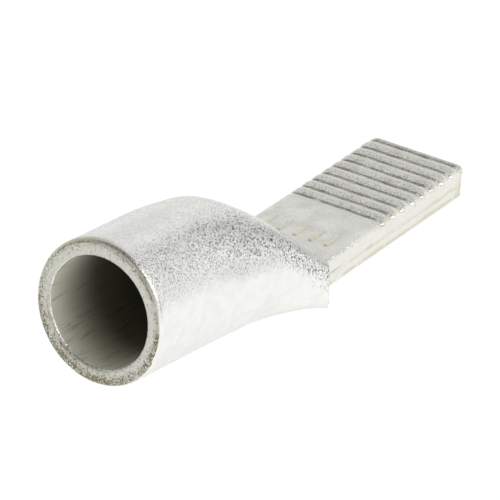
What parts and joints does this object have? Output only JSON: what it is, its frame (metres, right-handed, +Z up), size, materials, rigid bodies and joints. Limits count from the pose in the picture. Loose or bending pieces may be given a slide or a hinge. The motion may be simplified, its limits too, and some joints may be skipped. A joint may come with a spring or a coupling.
{
  "type": "flat-pin cable lug",
  "caption": "Tin-plated copper cable lug pressed from one tube: a round open barrel leans into a flared neck and a flat blade with grooves across its top.",
  "frame": {"origin": "under the middle of the lug's length and width, on the surface that it lies on", "axes": "+X along the blade towards its tip, +Z up from the blade's underside, with the barrel's mouth towards -X and leaning up"},
  "size_m": [0.0336, 0.0118, 0.01],
  "materials": {
    "tinned_copper": "satin tin plate with a fine grain"
  },
  "bodies": {
    "root": {"cable_lug": "tinned_copper"}
  },
  "joints": []
}
